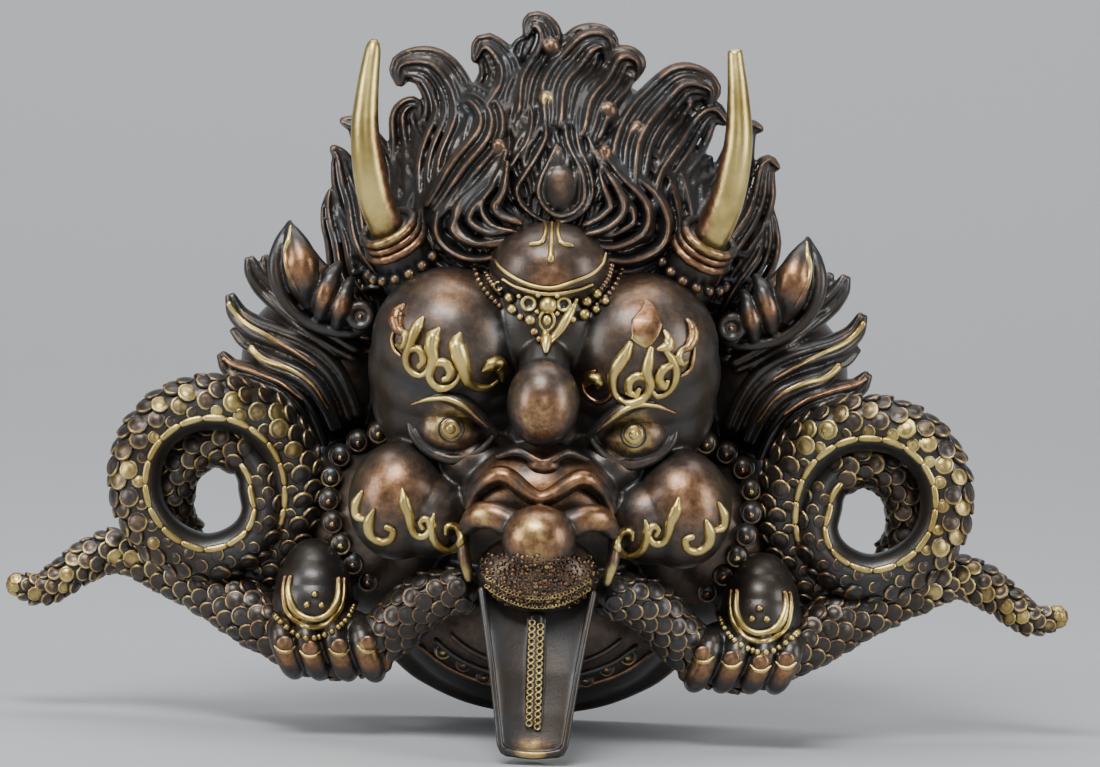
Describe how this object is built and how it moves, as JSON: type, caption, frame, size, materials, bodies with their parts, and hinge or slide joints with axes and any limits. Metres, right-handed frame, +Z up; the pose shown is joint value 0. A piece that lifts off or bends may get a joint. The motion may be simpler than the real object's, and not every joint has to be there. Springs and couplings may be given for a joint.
{
  "type": "guardian wall mask",
  "caption": "Cast horned guardian mask with flaming hair, leaf-shaped ears, a beak-like trough and fists gripping coiled serpents, flat and hollow at the back to hang on a wall.",
  "frame": {"origin": "on the flat back of the crown of hair, where the wall carries the mask", "axes": "+Z up, +Y into the wall, -Y out of the face, +X to the right of someone who looks at the face"},
  "size_m": [0.32, 0.1002, 0.214],
  "materials": {
    "dark_patina": "dark brown patina, rubbed to copper and brass on the high places",
    "horn_brass": "polished brass, brown towards the foot"
  },
  "bodies": {
    "root": {"mask_casting": "dark_patina", "horn_left": "horn_brass", "horn_right": "horn_brass"}
  },
  "joints": []
}
